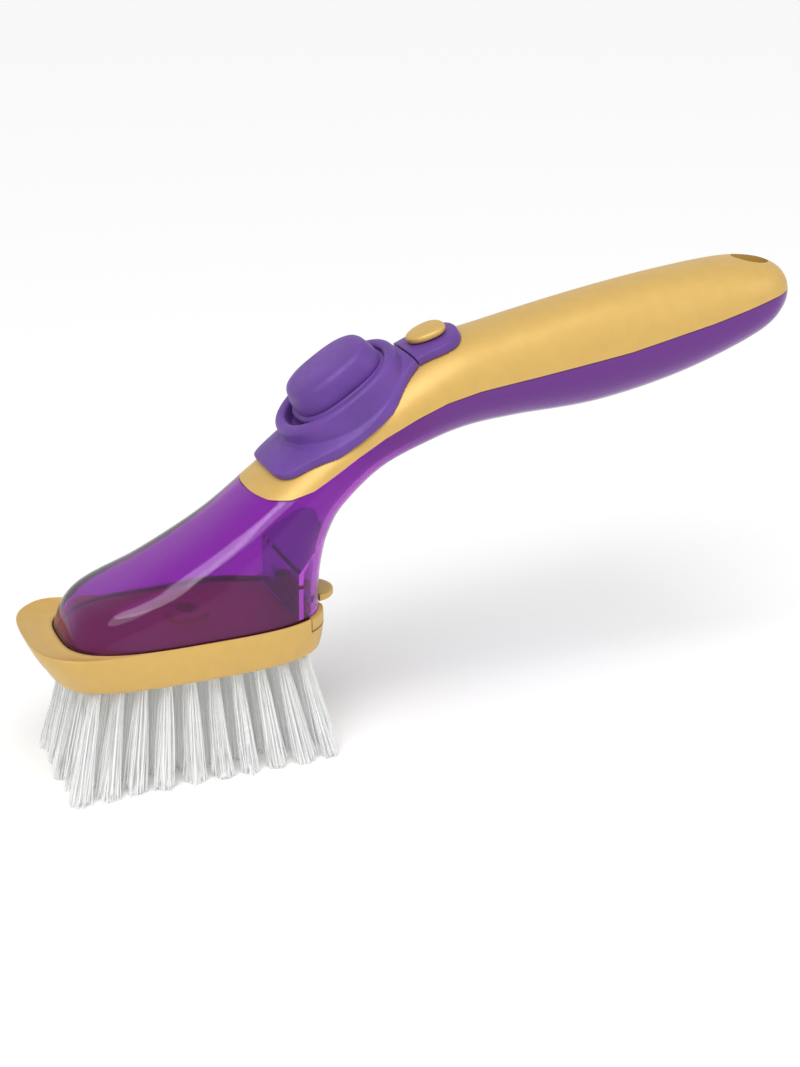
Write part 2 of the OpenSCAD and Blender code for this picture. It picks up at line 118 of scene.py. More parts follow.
GAP = 0.3
SEAM = 0.2
WIDE = 40
FOOT_N = 3.2
BLOCK_H = 11.4
SKIRT_H = 3
RIM_OUT = 1.3
NOTCH_L = 6
COVER_FROM = 4.5
HOLE_R = 5.5
HOLE_IN = 12.5
HOLE_UP = 72
HOLE_L = 45
MOUTH_R = 8.2
PIN_IN = 5
PIN_UP = 4
LEVER_W = 8
TAB_T = 2.2
TAB_IN = 0.2
TAB_R = 6.6
KNUCKLE_R = 2.4
SPOUT_R = 6
SPOUT_L = 8.8
SPOUT_BORE_R = 3
VALVE_R = 4.4


# Outline of the body, from the head's rear and above the foot

def body_sections():
    """Rows of top x and z, underside x and z, half width and squareness."""
    foot_l = sizes().foot_l / MM
    half = sizes().foot_w / MM / 2
    reach = sizes().reach / MM
    return [
        (-foot_l, -SKIRT_H, 0, -SKIRT_H, half, FOOT_N),
        (-foot_l, 0, 0, 0, half, FOOT_N),
        (-foot_l + 5.2, 9, 0.6, 8, half - 0.7, 3.0),
        (-foot_l + 22, 15.8, 1.8, 15, half - 1.8, 2.8),
        (-31, 25.6, 4, 22.3, half - 2.9, 2.6),
        (-16.6, 35.8, 8.5, 29.2, 16.8, 2.4),
        (-1.6, 47, 19.5, 38, 16.5, 2.3),
        (16, 59, 32.6, 42.6, 16.4, 2.3),
        (35.8, 68.6, 44.8, 44.9, 15.6, 2.2),
        (55.8, 73.2, 59.8, 45.9, 15, 2.2),
        (82.8, 78.3, 85.8, 46.7, 15, 2.2),
        (108.8, 81.9, 112.8, 51.8, 14.2, 2.3),
        (reach - 18.5, 83.5, reach - 13.5, 60.4, 13, 2.4),
        (reach - 6.2, 81.4, reach - 4.6, 66.6, 9.4, 2.3),
        (reach, 75, reach, 73.4, 1.2, 2),
    ]


# The parting line's sections, and its share of their height
PARTING = [
    (4.87, 1.04), (4.9, 0.9), (5.03, 0.76), (5.3, 0.65), (5.7, 0.602), (6.1, 0.583), (6.6, 0.572),
    (7.15, 0.553), (7.7, 0.532), (8.3, 0.504), (9.2, 0.486), (10.3, 0.492), (11.3, 0.495), (12.3, 0.504),
    (13.3, 0.506), (14, 0.52),
]


def hermite(t, a, rise_a, b, rise_b):
    """A smooth value from a to b, with the rise it leaves and arrives at."""
    return ((2 * t ** 3 - 3 * t * t + 1) * a + (t ** 3 - 2 * t * t + t) * rise_a
            + (3 * t * t - 2 * t ** 3) * b + (t ** 3 - t * t) * rise_b)


class Body:
    """The wand's body as one smooth row of sections."""

    def __init__(self):
        size = sizes()
        self.rows = body_sections()
        self.last = len(self.rows) - 1
        self.foot_z = size.bristle_l / MM + BLOCK_H
        self.skirt_z = self.foot_z - SKIRT_H
        whole = (size.lip_out + size.foot_l + size.reach) / MM
        self.front = size.lip_out / MM - whole / 2
        self.rear = self.front + size.foot_l / MM
        self.head = (self.front + self.rear) / 2
        self.tail = whole / 2
        self.lip = size.lip_out / MM

    def slope(self, c, i):
        rows = self.rows
        if i == 0:
            return rows[1][c] - rows[0][c]
        if i == self.last:
            return rows[i][c] - rows[i - 1][c]
        return (rows[i + 1][c] - rows[i - 1][c]) / 2

    def at(self, c, s):
        i = min(int(s), self.last - 1)
        t = s - i
        return hermite(t, self.rows[i][c], self.slope(c, i), self.rows[i + 1][c], self.slope(c, i + 1))

    def top(self, s):
        return Vector((self.rear + self.at(0, s), 0, self.foot_z + self.at(1, s)))

    def under(self, s):
        return Vector((self.rear + self.at(2, s), 0, self.foot_z + self.at(3, s)))

    def ring(self, s, off, count=72):
        f, r = self.top(s), self.under(s)
        mid, half = (f + r) / 2, (f - r).length / 2
        u = (f - r).normalized()
        return [mid + u * a + Vector((0, -b, 0))
                for a, b in oval(half + off, self.at(4, s) + off, self.at(5, s), count)]

    def lean(self, s):
        d = self.top(s + 0.4) - self.top(s - 0.4)
        return math.atan2(d.z, d.x)

    def parting(self, rise):
        """Side outline of what lies above the parting line."""
        line = [self.under(s) + (self.top(s) - self.under(s)) * q + Vector((0, 0, rise)) for s, q in PARTING]
        end = line[-1]
        return line + [end + Vector((1, 0, 0)), Vector((end.x + 1, 0, self.foot_z + 100)),
                       Vector((line[0].x - 9, 0, self.foot_z + 100)), line[0] + Vector((-9, 0, 6))]


def oval(a, b, n, count):
    """A superellipse of half axes a and b, squarer as n grows."""
    points = []
    for k in range(count):
        t = 2 * math.pi * k / count
        c, w = math.cos(t), math.sin(t)
        q = (abs(c) ** n + abs(w) ** n) ** (-1 / n)
        points.append((a * q * c, b * q * w))
    return points


class Tilt:
    """A frame on the handle's top: u along it, y across, n out of it."""

    def __init__(self, body, s, rise):
        angle = body.lean(s)
        self.u = Vector((math.cos(angle), 0, math.sin(angle)))
        self.n = Vector((-math.sin(angle), 0, math.cos(angle)))
        self.o = body.top(s) + self.n * rise

    def __call__(self, u, y, n):
        return self.o + self.u * u + Vector((0, y, 0)) + self.n * n


# Mesh helpers

def add_ring(bm, points):
    ring = bmesh.ops.create_circle(bm, cap_ends=False, segments=len(points), radius=MM)["verts"]
    for vert, point in zip(ring, points):
        vert.co = Vector(point) * MM
    return list({edge for vert in ring for edge in vert.link_edges})


def loft(rings):
    """A skin bridged from ring to ring and capped at both ends."""
    bm = bmesh.new()
    made = [add_ring(bm, points) for points in rings]
    for low, high in zip(made, made[1:]):
        bmesh.ops.bridge_loops(bm, edges=low + high)
    for edges in (made[0], made[-1]):
        bmesh.ops.contextual_create(bm, geom=edges)
    bmesh.ops.recalc_face_normals(bm, faces=bm.faces)
    return bm


def prism(outline, low, high, across=False):
    """A flat outline of points, pushed from low to high."""
    bm = bmesh.new()
    if across:
        verts = [bm.verts.new(Vector((p[0], low, p[2])) * MM) for p in outline]
        push = Vector((0, high - low, 0)) * MM
    else:
        verts = [bm.verts.new(Vector((p[0], p[1], low)) * MM) for p in outline]
        push = Vector((0, 0, high - low)) * MM
    face = bm.faces.new(verts)
    moved = bmesh.ops.extrude_face_region(bm, geom=[face])["geom"]
    bmesh.ops.translate(bm, verts=[g for g in moved if isinstance(g, bmesh.types.BMVert)], vec=push)
    bmesh.ops.recalc_face_normals(bm, faces=bm.faces)
    return bm


def side_prism(outline):
    """A side outline pushed through the whole width."""
    return prism(outline, -WIDE, WIDE, True)


def rod(centre, axis, radius, length, segments=64):
    """A round bar centred on a point, along an axis."""
    bm = bmesh.new()
    bmesh.ops.create_cone(bm, cap_ends=True, segments=segments, radius1=radius * MM, radius2=radius * MM,
                          depth=length * MM)
    turn = Vector((0, 0, 1)).rotation_difference(Vector(axis)).to_matrix().to_4x4()
    bmesh.ops.transform(bm, matrix=Matrix.Translation(Vector(centre) * MM) @ turn, verts=bm.verts)
    return bm


def box_mesh(low, high):
    bm = bmesh.new()
    bmesh.ops.create_cube(bm, size=1)
    size = Vector(high) - Vector(low)
    bmesh.ops.scale(bm, vec=size * MM, verts=bm.verts)
    bmesh.ops.translate(bm, vec=(Vector(high) + Vector(low)) / 2 * MM, verts=bm.verts)
    return bm


def place(bm, frame_of):
    """Moves a mesh drawn in u, y and n onto a tilted frame."""
    matrix = Matrix.Identity(4)
    for row in range(3):
        matrix[row][0] = frame_of.u[row]
        matrix[row][1] = 1.0 if row == 1 else 0.0
        matrix[row][2] = frame_of.n[row]
        matrix[row][3] = frame_of.o[row] * MM
    bmesh.ops.transform(bm, matrix=matrix, verts=bm.verts)
    return bm


def to_object(bm, name):
    mesh = bpy.data.meshes.new(name)
    bm.to_mesh(mesh)
    bm.free()
    obj = bpy.data.objects.new(name, mesh)
    bpy.context.scene.collection.objects.link(obj)
    return obj


def take_mesh(obj):
    """The mesh of an object that was only needed on the way."""
    bm = bmesh.new()
    bm.from_mesh(obj.data)
    bpy.data.objects.remove(obj)
    return bm


def carve(obj, steps):
    """Runs boolean steps of (operation, mesh) on an object and keeps the result."""
    for operation, bm in steps:
        tool = to_object(bm, "tool")
        cut = obj.modifiers.new("cut", "BOOLEAN")
        cut.operation = operation
        cut.solver = "EXACT"
        cut.object = tool
        settle(obj)
        data = tool.data
        bpy.data.objects.remove(tool)
        bpy.data.meshes.remove(data)


def settle(obj):
    """Turns an object's modifiers into its mesh."""
    bpy.context.view_layer.update()
    graph = bpy.context.evaluated_depsgraph_get()
    mesh = bpy.data.meshes.new_from_object(obj.evaluated_get(graph), depsgraph=graph)
    old = obj.data
    obj.modifiers.clear()
    obj.data = mesh
    name = old.name
    bpy.data.meshes.remove(old)
    mesh.name = name


def soften(obj, voxel, rounds):
    """Remeshes a solid and rounds its edges, as moulded rubber is."""
    remesh = obj.modifiers.new("remesh", "REMESH")
    remesh.mode = "VOXEL"
    remesh.voxel_size = voxel * MM
    settle(obj)
    bm = bmesh.new()
    bm.from_mesh(obj.data)
    for _ in range(rounds):
        bmesh.ops.smooth_vert(bm, verts=bm.verts, factor=0.5,
                              use_axis_x=True, use_axis_y=True, use_axis_z=True)
    bm.to_mesh(obj.data)
    bm.free()


def shade(obj, angle=32):
    """Smooth shading, with the edges sharper than the angle kept sharp."""
    bm = bmesh.new()
    bm.from_mesh(obj.data)
    bmesh.ops.remove_doubles(bm, verts=bm.verts, dist=1e-7)
    bmesh.ops.dissolve_degenerate(bm, edges=bm.edges, dist=1e-7)
    limit = math.radians(angle)
    for face in bm.faces:
        face.smooth = True
    for edge in bm.edges:
        edge.smooth = len(edge.link_faces) == 2 and edge.calc_face_angle(0) < limit
    bm.to_mesh(obj.data)
    bm.free()


def dress(obj, material, body, slot_name, *nodes):
    obj.data.materials.clear()
    obj.data.materials.append(material)
    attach(obj, body)
    if nodes:
        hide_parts(*nodes)


# Materials

def material(name):
    """A material and its nodes, or no nodes where it is made already."""
    found = bpy.data.materials.get(name)
    if found:
        return found, None
    mat = bpy.data.materials.new(name)
    mat.use_nodes = True
    return mat, mat.node_tree


def set_sockets(node, **values):
    """Sets a node's sockets, named with _ in place of a space."""
    for name, value in values.items():
        node.inputs[name.replace("_", " ")].default_value = value


def object_noise(tree, scale, detail):
    coord = tree.nodes.new("ShaderNodeTexCoord")
    noise = tree.nodes.new("ShaderNodeTexNoise")
    set_sockets(noise, Scale=scale, Detail=detail)
    tree.links.new(coord.outputs["Object"], noise.inputs["Vector"])
    return noise.outputs[0]


def grain(tree, scale, detail, low, high, target):
    """Noise in object space, mapped to a range and led into a socket."""
    ramp = tree.nodes.new("ShaderNodeMapRange")
    set_sockets(ramp, From_Min=0.3, From_Max=0.7, To_Min=low, To_Max=high)
    tree.links.new(object_noise(tree, scale, detail), ramp.inputs["Value"])
    tree.links.new(ramp.outputs["Result"], target)


def dimple(tree, shader, scale, strength, distance):
    """A fine bump in object space."""
    bump = tree.nodes.new("ShaderNodeBump")
    set_sockets(bump, Strength=strength, Distance=distance)
    tree.links.new(object_noise(tree, scale, 3), bump.inputs["Height"])
    tree.links.new(bump.outputs["Normal"], shader.inputs["Normal"])


def tinted(tree, shader, low, high, scale):
    """Base colour that drifts between two tints."""
    ramp = tree.nodes.new("ShaderNodeValToRGB")
    ramp.color_ramp.elements[0].position = 0.35
    ramp.color_ramp.elements[1].position = 0.65
    ramp.color_ramp.elements[0].color = (*low, 1)
    ramp.color_ramp.elements[1].color = (*high, 1)
    tree.links.new(object_noise(tree, scale, 3), ramp.inputs["Fac"])
    tree.links.new(ramp.outputs["Color"], shader.inputs["Base Color"])


def dim(colour, share):
    return tuple(c * share for c in colour)


def gold_material():
    mat, tree = material("satin_gold")
    if tree:
        shader = tree.nodes["Principled BSDF"]
        gold = tuple(finish().gold)
        tinted(tree, shader, dim(gold, 0.97), dim(gold, 1.02), 260)
        set_sockets(shader, Metallic=0.25, Coat_Weight=0.1, Coat_Roughness=0.35)
        grain(tree, 1400, 4, 0.4, 0.46, shader.inputs["Roughness"])
        dimple(tree, shader, 2600, 0.05, 0.0002)
    return mat


def rubber_material():
    mat, tree = material("soft_violet")
    if tree:
        shader = tree.nodes["Principled BSDF"]
        tint = tuple(finish().rubber)
        tinted(tree, shader, dim(tint, 0.9), dim(tint, 1.1), 90)
        set_sockets(shader, Sheen_Weight=0.06, Sheen_Roughness=0.5, Specular_IOR_Level=0.4)
        grain(tree, 500, 4, 0.42, 0.56, shader.inputs["Roughness"])
        dimple(tree, shader, 1500, 0.08, 0.0003)
    return mat


def clear_material():
    """Clear purple at the head, denser along the handle."""
    mat, tree = material("tinted_clear")
    if tree:
        shader = tree.nodes["Principled BSDF"]
        coord = tree.nodes.new("ShaderNodeTexCoord")
        split = tree.nodes.new("ShaderNodeSeparateXYZ")
        tree.links.new(coord.outputs["Object"], split.inputs["Vector"])
        along = tree.nodes.new("ShaderNodeMapRange")
        along.interpolation_type = "SMOOTHSTEP"
        set_sockets(along, From_Min=-0.03, From_Max=0.012)
        tree.links.new(split.outputs["X"], along.inputs["Value"])
        tint = tree.nodes.new("ShaderNodeMix")
        tint.data_type = "RGBA"
        set_sockets(tint, A=(*finish().clear, 1), B=(*finish().handle, 1))
        tree.links.new(along.outputs["Result"], tint.inputs["Factor"])
        tree.links.new(tint.outputs["Result"], shader.inputs["Base Color"])
        dense = tree.nodes.new("ShaderNodeMapRange")
        set_sockets(dense, To_Min=0.98, To_Max=0.5)
        tree.links.new(along.outputs["Result"], dense.inputs["Value"])
        tree.links.new(dense.outputs["Result"], shader.inputs["Transmission Weight"])
        set_sockets(shader, IOR=1.42)
        grain(tree, 60, 3, 0.03, 0.09, shader.inputs["Roughness"])
        dimple(tree, shader, 140, 0.04, 0.0008)
    return mat


# Bristle nylon with a painted glow: a faint white emission lightens the shade between the strands.
def glowing_nylon_material():
    mat, tree = material("nylon_filament_painted_glow")
    if tree:
        shader = tree.nodes["Principled BSDF"]
        tint = tuple(finish().nylon)
        tinted(tree, shader, dim(tint, 0.96), dim(tint, 1.04), 300)
        # The emission is painted light: a faint glow in the filament's own tint lifts the shaded gaps between
        # strands.
        set_sockets(shader, Subsurface_Weight=0.8, Subsurface_Radius=(1, 1, 1), Subsurface_Scale=0.003,
                    Emission_Color=(*tint, 1), Emission_Strength=0.06)
        grain(tree, 700, 3, 0.3, 0.45, shader.inputs["Roughness"])
    return mat


def steel_material():
    mat, tree = material("drawn_steel")
    if tree:
        shader = tree.nodes["Principled BSDF"]
        tinted(tree, shader, (0.52, 0.53, 0.55), (0.62, 0.63, 0.65), 400)
        set_sockets(shader, Metallic=1)
        grain(tree, 1500, 4, 0.22, 0.36, shader.inputs["Roughness"])
    return mat


def silicone_material():
    mat, tree = material("milky_silicone")
    if tree:
        shader = tree.nodes["Principled BSDF"]
        tinted(tree, shader, (0.62, 0.63, 0.64), (0.72, 0.73, 0.74), 200)
        set_sockets(shader, Subsurface_Weight=0.3, Subsurface_Radius=(0.002, 0.002, 0.002))
        grain(tree, 600, 3, 0.35, 0.5, shader.inputs["Roughness"])
    return mat


def seal_material():
    mat, tree = material("black_seal")
    if tree:
        shader = tree.nodes["Principled BSDF"]
        tinted(tree, shader, (0.012, 0.012, 0.013), (0.02, 0.02, 0.022), 300)
        grain(tree, 600, 3, 0.4, 0.55, shader.inputs["Roughness"])
    return mat


# Pieces

def section_steps(start, end, step):
    count = max(1, round((end - start) / step))
    return [start + (end - start) * i / count for i in range(count + 1)]


def body_skin(body, start, end, off, step=0.1, count=72):
    return loft([body.ring(s, off, count) for s in section_steps(start, end, step)])


def hollow_skin(body, off):
    """The hollow inside a wall of thickness off."""
    rings = [[p - Vector((0, 0, 1)) for p in body.ring(0, -off)]]
    rings += [body.ring(s, -off) for s in section_steps(0.5, body.last - 0.5, 0.1)]
    return loft(rings)


def hang_place(body):
    return Vector((body.tail - HOLE_IN, 0, body.foot_z + HOLE_UP))


def pin_place(body):
    return Vector((body.rear - PIN_IN, 0, body.foot_z + PIN_UP))


def pump_frame(body):
    return Tilt(body, 6.72, GAP + sizes().rubber_t / MM - 1)


class WAND_OT_shell(bpy.types.Operator):
    """Clear moulded shell with the soap tank and the handle's underside"""

    bl_idname = "wand.shell"
    bl_label = "Tank shell"

    def execute(self, context):
        body = Body()
        wall = sizes().shell_t / MM
        hole = hang_place(body)
        wall_x = body.rear - 9.5
        knee = Vector((wall_x + 0.6, 0, body.foot_z + 13))
        top = body.under(4.6)
        mid = body.under(8.1)
        inner = to_object(hollow_skin(body, wall), "inner")
        low = body.foot_z - GAP
        front_rib = [(wall_x, 0, low), (wall_x + 1.5, 0, low), knee + Vector((1.5, 0, 0)),
                     top + Vector((0, 0, 1)), top + Vector((-1.5, 0, 1)), knee]
        mid_rib = [mid + Vector((-1.5, 0, -1)), mid + Vector((0, 0, -1)), mid + Vector((0, 0, 40)),
                   mid + Vector((-1.5, 0, 40))]
        carve(inner, [("DIFFERENCE", side_prism(front_rib)),
                      ("DIFFERENCE", side_prism(mid_rib)),
                      ("DIFFERENCE", rod(hole, (0, 0, 1), HOLE_R + wall, HOLE_L))])
        shell = to_object(body_skin(body, 0, body.last, 0), "clear_shell")
        notch_x = body.rear - NOTCH_L - GAP
        notch = box_mesh((notch_x, -WIDE, body.skirt_z - 1), (notch_x + 15, WIDE, body.foot_z + 0.2))
        side = LEVER_W / 2 + GAP
        window = box_mesh((body.rear - 4, -side, body.foot_z), (body.rear + 5, side, body.foot_z + 2.3))
        carve(shell, [("DIFFERENCE", take_mesh(inner)),
                      ("DIFFERENCE", side_prism(body.parting(0))),
                      ("DIFFERENCE", rod(hole, (0, 0, 1), HOLE_R, HOLE_L)),
                      ("DIFFERENCE", notch),
                      ("DIFFERENCE", window),
                      ("DIFFERENCE", rod(pin_place(body), (0, 1, 0), 1.02, 24.7, 32))])
        shade(shell)
        dress(shell, clear_material(), "housing", "clear_purple", "tank_shell")
        return {"FINISHED"}


class WAND_OT_cover(bpy.types.Operator):
    """Gold cover of the handle, with the filler mouth and the hanging hole"""

    bl_idname = "wand.cover"
    bl_label = "Handle cover"

    def execute(self, context):
        body = Body()
        wall = sizes().cover_t / MM
        pump = pump_frame(body)
        hole = hang_place(body)
        cover_n = 1 - sizes().rubber_t / MM - GAP
        inner = to_object(hollow_skin(body, wall), "inner")
        neck = place(rod((0, 0, cover_n - wall / 2 - 2), (0, 0, 1), MOUTH_R + wall, wall + 2), pump)
        carve(inner, [("DIFFERENCE", rod(hole, (0, 0, 1), HOLE_R + wall, HOLE_L)), ("DIFFERENCE", neck)])
        cover = to_object(body_skin(body, COVER_FROM, body.last, 0), "gold_cover")
        carve(cover, [("INTERSECT", side_prism(body.parting(SEAM))),
                      ("DIFFERENCE", take_mesh(inner)),
                      ("DIFFERENCE", rod(hole, (0, 0, 1), HOLE_R, HOLE_L)),
                      ("DIFFERENCE", place(rod((0, 0, -5), (0, 0, 1), MOUTH_R, 30), pump))])
        shade(cover)
        dress(cover, gold_material(), "housing", "gold_plastic", "handle_cover")
        return {"FINISHED"}


# The pump and its strap, along the pump's own frame

COLLAR_A = 19.5
COLLAR_B = 15
COLLAR_T = 3.4
COLLAR_H = 4.2
GROOVE = 1.2
DOME_U = 1.2
DOME_H = 11.4
DOME_T = 1.6
PRESS = 3.8
BUTTON_A = COLLAR_A - COLLAR_T - GROOVE - DOME_U
BUTTON_B = COLLAR_B - COLLAR_T - GROOVE
STRAP_U = COLLAR_A + 1.6
STRAP_END = COLLAR_A + 17.5
STRAP_W = 16.4
STRAP_ROUND = 7
LIP_L = 9
LIP_U = -COLLAR_A - LIP_L
EDGE_LOW = -6.9
PLUG_R = 7.8
PLUG_BORE_R = 6.2
OVAL_N = 2.2
BUTTON_N = 2.6
RUBBER_FROM = 4.5
RUBBER_TO = 9.5
STUD_A = 5.7
STUD_B = 4.8

# Half widths of the rubber along u
RUBBER = [
    (LIP_U, 6), (LIP_U + 0.6, 9.2), (LIP_U + 3, 11.8), (-COLLAR_A - 1, 13.3),
    (-0.5 * COLLAR_A, COLLAR_B + 1), (0, COLLAR_B + 1.4), (0.45 * COLLAR_A, COLLAR_B - 0.6),
    (0.75 * COLLAR_A, COLLAR_B - 3.6), (STRAP_U - 1.6, STRAP_W / 2 + 0.8), (STRAP_U + 1, STRAP_W / 2),
    (STRAP_END - 5, STRAP_W / 2 + 0.2), (STRAP_END - 2.2, STRAP_W / 2 - 2.2),
]


def rubber_width(u):
    """Half width of the rubber at u, on a smooth curve that ends in a round."""
    past = (u - STRAP_END + STRAP_ROUND) / STRAP_ROUND
    if past > 0:
        return (STRAP_W / 2 + 0.1) * max(0.0, 1 - past ** 2.2) ** 0.5 + 0.05
    i = max(0, min(len(RUBBER) - 2, sum(1 for point in RUBBER if point[0] <= u) - 1))
    (u0, w0), (u1, w1) = RUBBER[i], RUBBER[i + 1]
    before, after = RUBBER[max(i - 1, 0)], RUBBER[min(i + 2, len(RUBBER) - 1)]
    span = u1 - u0
    rise0 = (w1 - before[1]) / (u1 - before[0]) * span
    rise1 = (after[1] - w0) / (after[0] - u0) * span
    t = min(1.0, max(0.0, (u - u0) / span))
    return hermite(t, w0, rise0, w1, rise1)


def rubber_plate(body, pump, u0, u1, low=-14):
    """Rubber between u0 and u1 that follows the cover down to low."""
    steps = [u0 + (u1 - u0) * (1 - math.cos(math.pi * i / 72)) / 2 for i in range(73)]
    near = [(u, -rubber_width(u), 0) for u in steps]
    far = [(u, rubber_width(u), 0) for u in reversed(steps)]
    plate = to_object(place(prism(near + far, low, 10), pump), "plate")
    outer = body_skin(body, RUBBER_FROM, RUBBER_TO, GAP + sizes().rubber_t / MM, 0.05, 144)
    carve(plate, [("INTERSECT", outer),
                  ("DIFFERENCE", body_skin(body, RUBBER_FROM, RUBBER_TO, GAP, 0.05, 144))])
    return plate


def collar_skin(profile):
    """A skin of the collar's oval through rows of offset and height."""
    return loft([[(a, b, n) for a, b in oval(COLLAR_A + off, COLLAR_B + off, OVAL_N, 96)]
                 for off, n in profile])


def button_skin(profile):
    """A skin of the button's oval through rows of offset and height."""
    return loft([[(a + DOME_U, b, n) for a, b in oval(BUTTON_A + off, BUTTON_B + off, BUTTON_N, 96)]
                 for off, n in profile])


class WAND_OT_pump(bpy.types.Operator):
    """Rubber pump cap with its collar, plug, button and bellows"""

    bl_idname = "wand.pump"
    bl_label = "Pump"

    def execute(self, context):
        body = Body()
        pump = pump_frame(body)
        self.cap(body, pump)
        self.button(pump)
        self.bellows(pump)
        return {"FINISHED"}

    def cap(self, body, pump):
        cover_n = 1 - sizes().rubber_t / MM - GAP
        cap = rubber_plate(body, pump, LIP_U, STRAP_U, EDGE_LOW)
        rounded = [(0, -11), (0, 0), (0, COLLAR_H - 1.6), (-0.15, COLLAR_H - 0.9), (-0.6, COLLAR_H - 0.3),
                   (-1.3, COLLAR_H), (-COLLAR_T + 0.9, COLLAR_H - 0.02), (-COLLAR_T + 0.3, COLLAR_H - 0.3),
                   (-COLLAR_T - 0.3, COLLAR_H - 1)]
        collar = to_object(place(collar_skin(rounded), pump), "collar")
        carve(collar, [("DIFFERENCE", body_skin(body, RUBBER_FROM, RUBBER_TO, GAP))])
        well = collar_skin([(-COLLAR_T, -0.1), (-COLLAR_T, 12)])
        plug = rod((0, 0, cover_n - 1.35), (0, 0, 1), PLUG_R, 3.3 + GAP + 0.6)
        bore = rod((0, 0, -1), (0, 0, 1), PLUG_BORE_R, 22)
        carve(cap, [("UNION", take_mesh(collar)),
                    ("DIFFERENCE", place(well, pump)),
                    ("UNION", place(plug, pump)),
                    ("DIFFERENCE", place(bore, pump))])
        cap.name = "rubber_cap"
        soften(cap, 0.26, 8)
        shade(cap, 60)
        dress(cap, rubber_material(), "cap", "purple_rubber", "pump_cap")

    def button(self, pump):
        rim = PRESS + GAP
        outside = [(0, rim), (-0.05, rim + 1), (-0.3, rim + 2.5), (-0.8, DOME_H - 2.8), (-1.1, DOME_H - 1.9),
                   (-1.6, DOME_H - 1.2), (-2.3, DOME_H - 0.75), (-3.2, DOME_H - 0.45), (-4.6, DOME_H - 0.2),
                   (-6.5, DOME_H - 0.05), (-8.5, DOME_H)]
        hollow = [(-DOME_T, rim - 1), (-DOME_T - 0.2, rim + 2), (-DOME_T - 0.9, DOME_H - 3.6),
                  (-DOME_T - 2, DOME_H - DOME_T - 0.6), (-DOME_T - 4, DOME_H - DOME_T)]
        button = to_object(place(button_skin(outside), pump), "pump_button")
        carve(button, [("DIFFERENCE", place(button_skin(hollow), pump))])
        shade(button, 60)
        dress(button, rubber_material(), "dome", "purple_rubber", "pump_dome")

    def bellows(self, pump):
        rim = PRESS + GAP
        wave = [(-0.2, 0.2), (0.5, 0.9), (0.95, 1.9), (1, 2.9), (0.6, 3.4), (0.1, 3.7), (-0.2, rim - 0.2)]
        core = [(-1.3, -1)] + [(off - 1, n) for off, n in wave] + [(-1.3, rim + 1)]
        bellows = to_object(place(button_skin(wave), pump), "bellows")
        carve(bellows, [("DIFFERENCE", place(button_skin(core), pump))])
        shade(bellows, 50)
        dress(bellows, rubber_material(), "cap", "purple_rubber", "dome_membrane")
        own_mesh(bellows)


class WAND_OT_strap(bpy.types.Operator):
    """Strap of the cap and the gold stud that pins it"""

    bl_idname = "wand.strap"
    bl_label = "Strap and stud"

    def execute(self, context):
        body = Body()
        pump = pump_frame(body)
        seat = Tilt(body, 8.02, GAP + sizes().rubber_t / MM)
        strap = rubber_plate(body, pump, STRAP_U + GAP, STRAP_END)
        carve(strap, [("DIFFERENCE", place(rod((0, 0, 0), (0, 0, 1), 2.9, 16), seat))])
        strap.name = "rubber_strap"
        soften(strap, 0.2, 7)
        shade(strap, 60)
        dress(strap, rubber_material(), "housing", "purple_rubber", "cap_strap")

        profile = [(-0.7, 0.05), (-0.25, 0.2), (0, 0.55), (0, 1.3), (-0.15, 1.65), (-0.5, 1.9), (-1.1, 2.05),
                   (-2.4, 2.15)]
        rings = []
        for off, n in profile:
            egg = oval(STUD_A + off, STUD_B + off, OVAL_N, 64)
            rings.append([(a, b * (1 + a / (2 * STUD_A) * 0.3), n) for a, b in egg])
        stud = to_object(place(loft(rings), seat), "stud")
        carve(stud, [("UNION", place(rod((0, 0, -0.9), (0, 0, 1), 2.6, 2.7), seat))])
        shade(stud, 40)
        dress(stud, gold_material(), "housing", "gold_plastic", "strap_stud")
        return {"FINISHED"}


LIP_RUN = 20
LIP_W = 50
LIP_RISE = 1.6
SOCKET_R = 6.9
OUTLET_R = 3.2


def foot_oval(off):
    """The foot's outline, grown by off, about the head's middle."""
    return oval(sizes().foot_l / MM / 2 + off, sizes().foot_w / MM / 2 + off, FOOT_N, 120)


def block_ring(body, z, off, lip, dish=0):
    """Outline of the brush block at a height, with its share of the lip and of the dish in it."""
    points = []
    widen = LIP_W / (sizes().foot_w / MM) - 1
    for a, b in foot_oval(off):
        x = body.head + a
        f = max(0.0, (body.front + LIP_RUN - x) / (LIP_RUN + off))
        q = min(1.0, 1.5 * f)
        g = q * q * (3 - 2 * q)
        points.append((x - lip * f * (2 - f) * (body.lip - off),
                       b * (1 + lip * g * widen),
                       z + lip * g * LIP_RISE - dish * g))
    return points


